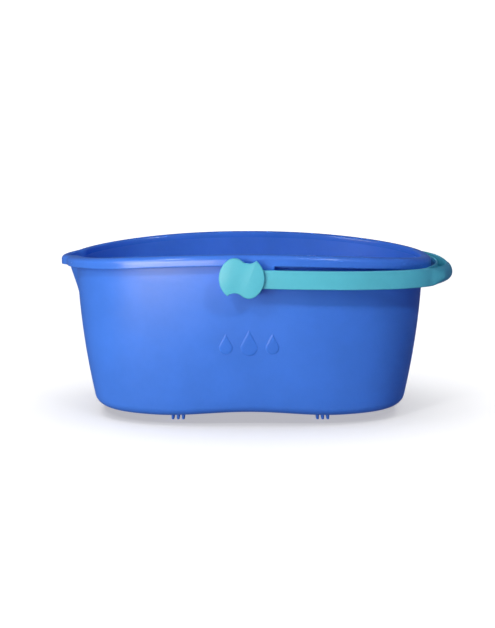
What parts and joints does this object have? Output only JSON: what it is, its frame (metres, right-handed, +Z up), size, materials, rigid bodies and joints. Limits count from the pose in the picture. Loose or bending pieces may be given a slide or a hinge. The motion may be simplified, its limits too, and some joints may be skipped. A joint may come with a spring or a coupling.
{
  "type": "mop bucket",
  "caption": "Oval mop bucket with an arched rim, a pouring lip at one end, short rib feet and a hinged carry handle with a channel grip, folded down to one end.",
  "frame": {"origin": "on the floor, at the middle of the footprint of the whole object with its handle folded", "axes": "+Z up; X along the length with the pouring lip at -X and the folded handle's grip at +X; front at -Y"},
  "size_m": [0.4845, 0.2994, 0.21],
  "materials": {
    "tub": "moulded polypropylene, satin wall and glossier rim",
    "handle": "moulded polypropylene, fine satin",
    "cap": "moulded polypropylene, fine satin"
  },
  "bodies": {
    "bucket": {"bucket_shell": "tub"},
    "handle": {"carry_handle": "handle", "front_pivot_cap": "cap", "rear_pivot_cap": "cap"}
  },
  "joints": [
    {"name": "handle_swing", "type": "hinge", "parent": "bucket", "child": "handle", "pos_m": [-0.0157, 0, 0.1853], "axis": [0, -1, 0], "range_deg": [0, 180]}
  ]
}
